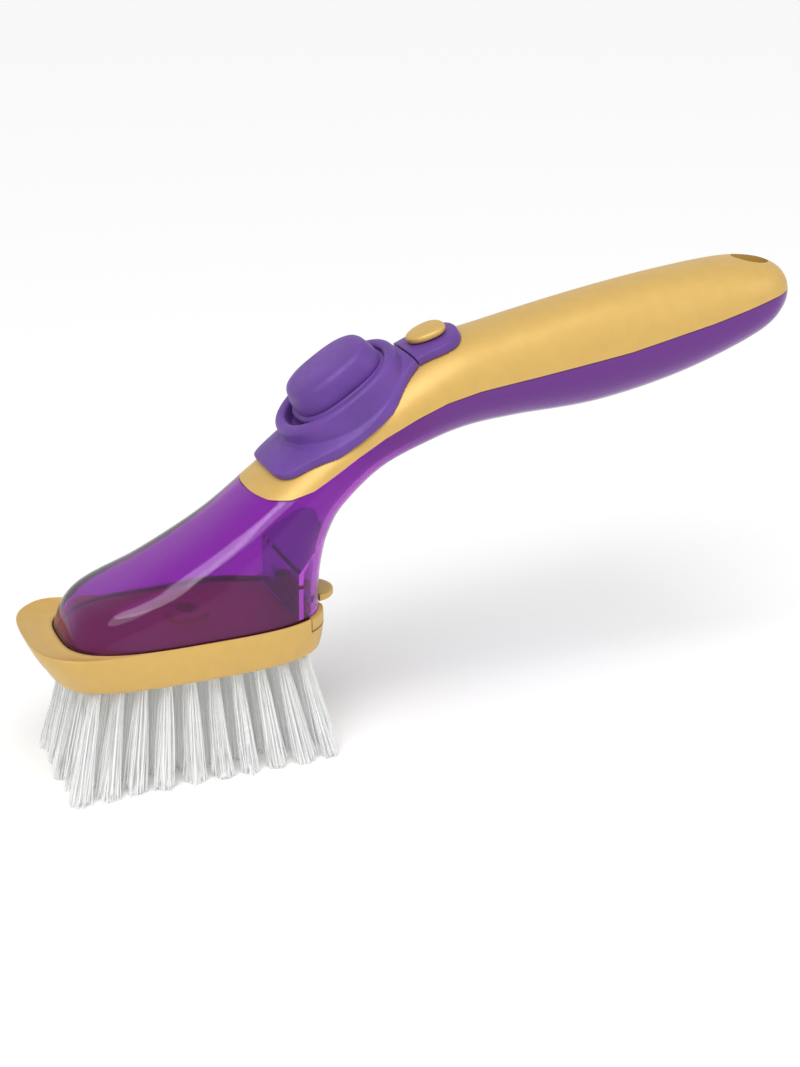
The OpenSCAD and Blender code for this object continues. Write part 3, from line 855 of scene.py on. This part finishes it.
class WAND_OT_block(bpy.types.Operator):
    """Gold brush block with the scraper lip and the pocket for the shell"""

    bl_idname = "wand.block"
    bl_label = "Brush block"

    def execute(self, context):
        body = Body()
        low = body.foot_z - BLOCK_H
        top = body.foot_z
        profile = [
            (low, -0.6, 0.3), (low + 0.3, -0.25, 0.32), (low + 1, 0.2, 0.36), (low + 2.3, 0.55, 0.44),
            (low + 3.6, 0.8, 0.5), (low + 5.4, 1.05, 0.66), (top - 4, RIM_OUT, 0.8),
            (top - 2.4, RIM_OUT, 0.9), (top - 1.2, RIM_OUT, 0.97), (top - 0.5, 1.28, 0.995),
            (top - 0.12, 1.15, 1), (top, 0.9, 1),
            (top - 0.01, 0.88, 0.9, 0.3), (top - 0.02, 0.85, 0.7, 0.6), (top - 0.03, 0.81, 0.45, 0.7),
            (top - 0.05, 0.76, 0.25, 0.6), (top - 0.06, 0.71, 0.14, 0.3), (top - 0.08, 0.65, 0.07),
            (top - 0.12, 0.55, 0.02), (top - 0.25, 0.42, 0), (top - 0.6, 0.3, 0),
            (body.skirt_z - GAP, 0.3, 0),
        ]
        block = to_object(loft([block_ring(body, *ring) for ring in profile]), "brush_base")
        notch_x = body.rear - NOTCH_L
        notch = box_mesh((notch_x, -WIDE, body.skirt_z - 1), (notch_x + 15, WIDE, top + 3))
        socket = rod((body.head, 0, body.skirt_z - 5 + BLOCK_H / 2), (0, 0, 1), SOCKET_R, BLOCK_H)
        carve(block, [("DIFFERENCE", notch),
                      ("DIFFERENCE", socket),
                      ("DIFFERENCE", rod((body.head, 0, low + 4), (0, 0, 1), OUTLET_R, 12))])
        shade(block, 30)
        dress(block, gold_material(), "brush_head", "gold_plastic", "brush_block")
        return {"FINISHED"}


class WAND_OT_latch(bpy.types.Operator):
    """Gold release tab behind the head"""

    bl_idname = "wand.latch"
    bl_label = "Release latch"

    def execute(self, context):
        body = Body()
        pin = pin_place(body)
        low = body.foot_z - TAB_IN
        side = LEVER_W / 2
        edge = [(-0.7, low), (-0.25, low + 0.12), (0, low + 0.45), (0, low + 1.6), (-0.2, low + 1.95),
                (-0.6, low + 2.15), (-1.4, low + TAB_T)]
        lobe = loft([[(body.rear + a, b, z) for a, b in oval(TAB_R + off, TAB_R + off, 2, 64)]
                     for off, z in edge])
        latch = to_object(lobe, "latch")
        clear_of_shell = box_mesh((body.rear + 0.6, -WIDE, low - 1), (body.rear + 9.6, WIDE, low + 5))
        neck = box_mesh((pin.x - 0.4, 0.01 - side, low + 1.2), (pin.x + 2.2, side - 0.01, pin.z))
        carve(latch, [("INTERSECT", clear_of_shell),
                      ("UNION", box_mesh((pin.x - 0.4, -side, low), (body.rear + 1, side, low + TAB_T))),
                      ("UNION", rod(pin, (0, 1, 0), KNUCKLE_R, LEVER_W - 0.02, 48)),
                      ("UNION", neck),
                      ("DIFFERENCE", rod(pin, (0, 1, 0), 1.05, 30, 48))])
        shade(latch, 35)
        dress(latch, gold_material(), "latch", "gold_plastic", "release_latch")
        return {"FINISHED"}


class WAND_OT_floor(bpy.types.Operator):
    """Gold floor of the tank, with its spout and the flange in the block's rear notch"""

    bl_idname = "wand.floor"
    bl_label = "Tank floor"

    def execute(self, context):
        body = Body()
        inner = -(sizes().shell_t / MM + GAP)
        low = body.skirt_z
        top = body.foot_z
        rim = [(0.9, low - 0.7), (1.2, low - 0.6), (RIM_OUT, low - 0.3), (RIM_OUT, top - 0.7),
               (1.15, top - 0.4), (0.8, top - GAP)]
        flange = to_object(self.skin(body, rim), "flange")
        flange_x = body.rear - NOTCH_L + GAP
        carve(flange, [("INTERSECT", box_mesh((flange_x, -WIDE, low - 2), (body.rear + 9, WIDE, low + 9)))])
        spout = (body.head, 0, low)
        relief = box_mesh((body.rear - 8, -7.4, top - 1.4), (body.rear + 9, 7.4, low + 9))
        floor = to_object(self.skin(body, [(inner, low), (inner, low + 2.4)]), "floor")
        carve(floor, [("UNION", take_mesh(flange)),
                      ("UNION", rod(spout, (0, 0, 1), SPOUT_R, SPOUT_L)),
                      ("DIFFERENCE", relief),
                      ("DIFFERENCE", rod(spout, (0, 0, 1), SPOUT_BORE_R, 20)),
                      ("DIFFERENCE", rod((body.head, 0, low - SPOUT_L / 2), (0, 0, 1), VALVE_R, 4.8))])
        shade(floor, 30)
        dress(floor, gold_material(), "housing", "gold_plastic", "tank_floor")
        return {"FINISHED"}

    def skin(self, body, profile):
        """A skin of the foot's outline through rows of offset and height."""
        return loft([[(body.head + a, b, z) for a, b in foot_oval(off)] for off, z in profile])


ROWS = 5
ROW_PITCH = 7
TUFTS = 10
TUFT_PITCH = 6.5
TUFT_BACK = 0.9
TUFT_R = 1.3
STRANDS = 84
STRAND_R = 0.19
TURN = 2.39996


def tuft_places(body, row):
    """Places of a row's tufts; the middle row leaves room for the outlet."""
    places = []
    for i in range(TUFTS):
        x = (i - (TUFTS - 1) / 2) * TUFT_PITCH
        if row != 2 or abs(x) > TUFT_PITCH:
            places.append(body.head + x - TUFT_BACK)
    return places


class WAND_OT_bristles(bpy.types.Operator):
    """Rows of nylon tufts"""

    bl_idname = "wand.bristles"
    bl_label = "Bristles"

    def execute(self, context):
        body = Body()
        draw = random.Random(7)
        length = sizes().bristle_l / MM
        for row in range(ROWS):
            y = (row - (ROWS - 1) / 2) * ROW_PITCH
            bm = bmesh.new()
            for x in tuft_places(body, row):
                lean = Vector((draw.uniform(-0.6, 0.6), draw.uniform(-0.5, 0.5), 0))
                flare = draw.uniform(1.85, 2.3)
                for k in range(STRANDS):
                    self.strand(bm, body, draw, Vector((x, y, length)), k, lean, flare)
            tufts = to_object(bm, "tufts_%d" % (row + 1))
            shade(tufts, 80)
            dress(tufts, glowing_nylon_material(), "brush_head", "nylon", "bristle_row_%d" % (row + 1))
        return {"FINISHED"}

    def strand(self, bm, body, draw, place_of, k, lean, flare):
        """One strand from the block to its ragged tip."""
        angle = k * TURN + place_of.x
        reach = TUFT_R * math.sqrt((k + 0.5) / STRANDS)
        dx, dy = reach * math.cos(angle), reach * math.sin(angle)
        root = place_of + Vector((dx, dy, 0.6))
        spread = flare + draw.uniform(-0.3, 0.4)
        stray = 0.45 if draw.random() < 0.85 else 1.0
        out_x = (place_of.x - body.head) * 1.23 + spread * dx
        out_y = place_of.y * 1.26 + spread * dy
        tip = lean + Vector((body.head + out_x + draw.uniform(-stray, stray),
                             out_y + draw.uniform(-stray, stray),
                             0.15 + draw.uniform(0, 1.0) ** 2 * 3.2))
        bend = Vector((draw.uniform(-0.5, 0.5), draw.uniform(-0.5, 0.5), 0))
        ring = None
        for share in (0, 0.35, 0.7, 1):
            centre = root.lerp(tip, share) + bend * math.sin(math.pi * share)
            points = [centre + Vector((STRAND_R * math.cos(t + angle), STRAND_R * math.sin(t + angle), 0))
                      for t in (0, math.pi / 2, math.pi, 3 * math.pi / 2)]
            verts = [bm.verts.new(p * MM) for p in points]
            if ring:
                for i in range(4):
                    bm.faces.new((ring[i], verts[i], verts[(i + 1) % 4], ring[(i + 1) % 4]))
            else:
                bm.faces.new(verts)
            ring = verts
        bm.faces.new(list(reversed(ring)))


class WAND_OT_inside(bpy.types.Operator):
    """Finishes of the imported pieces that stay: valve, seals and steel"""

    bl_idname = "wand.inside"
    bl_label = "Inner pieces"

    def execute(self, context):
        finishes = {
            "valve_retainer": gold_material, "soap_valve": silicone_material,
            "spout_oring": seal_material, "latch_pin": steel_material, "latch_spring": steel_material,
            "tuft_anchors": steel_material,
        }
        for node, make in finishes.items():
            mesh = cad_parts[node].data
            mesh.materials.clear()
            mesh.materials.append(make())
        return {"FINISHED"}


SENSOR_H = 36
PHOTO_H = 1067
FOCAL_PIXELS = 2045


def aim(obj, target):
    obj.rotation_euler = (Vector(target) - obj.location).to_track_quat("-Z", "Y").to_euler()


def add_light(name, place_of, size, power, kind="AREA"):
    light = bpy.data.lights.new(name, kind)
    light.energy = power
    if kind == "SUN":
        light.angle = math.radians(size)
    else:
        light.shape = "DISK"
        light.size = size
    obj = bpy.data.objects.new(name, light)
    obj.location = place_of
    bpy.context.scene.collection.objects.link(obj)
    aim(obj, (0, 0, 0.06))


class WAND_OT_stage(bpy.types.Operator):
    """Pale floor, soft light and the camera"""

    bl_idname = "wand.stage"
    bl_label = "Stage"

    def execute(self, context):
        context.scene.view_settings.view_transform = "Standard"
        self.floor()
        self.world(context.scene)
        add_light("overhead", (-0.2, -0.35, 0.9), 40, 1.5, "SUN")
        add_light("key", (-0.45, -0.5, 0.6), 0.5, 1.4)
        add_light("fill", (0.6, -0.5, 0.45), 0.5, 0.8)
        self.camera(context.scene)
        return {"FINISHED"}

    def floor(self):
        bm = bmesh.new()
        bmesh.ops.create_grid(bm, x_segments=1, y_segments=1, size=4)
        floor = to_object(bm, "floor")
        floor.location.z = CAD_BOX[0][2] - 0.0002
        mat, tree = material("pale_floor")
        shader = tree.nodes["Principled BSDF"]
        set_sockets(shader, Base_Color=(1, 1, 1, 1), Roughness=0.9, Specular_IOR_Level=0)
        floor.data.materials.append(mat)

    def world(self, scene):
        """Soft white light, with a plain white backdrop for what the camera sees."""
        world = bpy.data.worlds.new("studio")
        scene.world = world
        world.use_nodes = True
        nodes, links = world.node_tree.nodes, world.node_tree.links
        soft = nodes["Background"]
        set_sockets(soft, Color=(1, 1, 1, 1), Strength=0.5)
        white = nodes.new("ShaderNodeBackground")
        set_sockets(white, Strength=1)
        path = nodes.new("ShaderNodeLightPath")
        mix = nodes.new("ShaderNodeMixShader")
        seen = path.outputs["Is Camera Ray"]
        for ray in ("Is Glossy Ray", "Is Transmission Ray"):
            either = nodes.new("ShaderNodeMath")
            either.operation = "MAXIMUM"
            links.new(seen, either.inputs[0])
            links.new(path.outputs[ray], either.inputs[1])
            seen = either.outputs[0]
        links.new(seen, mix.inputs[0])
        links.new(soft.outputs[0], mix.inputs[1])
        links.new(white.outputs[0], mix.inputs[2])
        links.new(mix.outputs[0], nodes["World Output"].inputs["Surface"])

    def camera(self, scene):
        """The camera at the photograph's height and turn."""
        azimuth, tilt, distance = math.radians(-23), math.radians(22), 0.58
        target = Vector((-0.00675, 0, 0.056))
        level = math.cos(tilt)
        back = Vector((math.sin(azimuth) * level, -math.cos(azimuth) * level, math.sin(tilt)))
        lens = bpy.data.cameras.new("camera")
        lens.sensor_fit = "VERTICAL"
        lens.sensor_height = SENSOR_H
        lens.lens = SENSOR_H * FOCAL_PIXELS / PHOTO_H
        camera = bpy.data.objects.new("camera", lens)
        camera.location = target + back * distance
        scene.collection.objects.link(camera)
        aim(camera, target)
        scene.camera = camera


class WAND_PT_panel(bpy.types.Panel):
    """Buttons and sizes of the dish wand"""

    bl_label = "Dish Wand"
    bl_idname = "WAND_PT_panel"
    bl_space_type = "VIEW_3D"
    bl_region_type = "UI"
    bl_category = "Wand"

    def draw(self, context):
        layout = self.layout
        for group in (context.scene.wand_sizes, context.scene.wand_finish):
            for name in group.bl_rna.properties.keys():
                if name not in ("rna_type", "name"):
                    layout.prop(group, name)
        for operator in OPERATORS:
            layout.operator(operator.bl_idname)


OPERATORS = (
    WAND_OT_stage, WAND_OT_shell, WAND_OT_cover, WAND_OT_floor, WAND_OT_pump, WAND_OT_strap, WAND_OT_block,
    WAND_OT_latch, WAND_OT_bristles, WAND_OT_inside,
)
CLASSES = (WandSizes, WandFinish, *OPERATORS, WAND_PT_panel)


def register():
    for cls in CLASSES:
        bpy.utils.register_class(cls)
    bpy.types.Scene.wand_sizes = bpy.props.PointerProperty(type=WandSizes)
    bpy.types.Scene.wand_finish = bpy.props.PointerProperty(type=WandFinish)


def unregister():
    del bpy.types.Scene.wand_finish
    del bpy.types.Scene.wand_sizes
    for cls in reversed(CLASSES):
        bpy.utils.unregister_class(cls)


def main():
    register()
    for operator in OPERATORS:
        group, name = operator.bl_idname.split(".")
        getattr(getattr(bpy.ops, group), name)()
    bpy.context.view_layer.update()


if __name__ == "__main__":
    main()
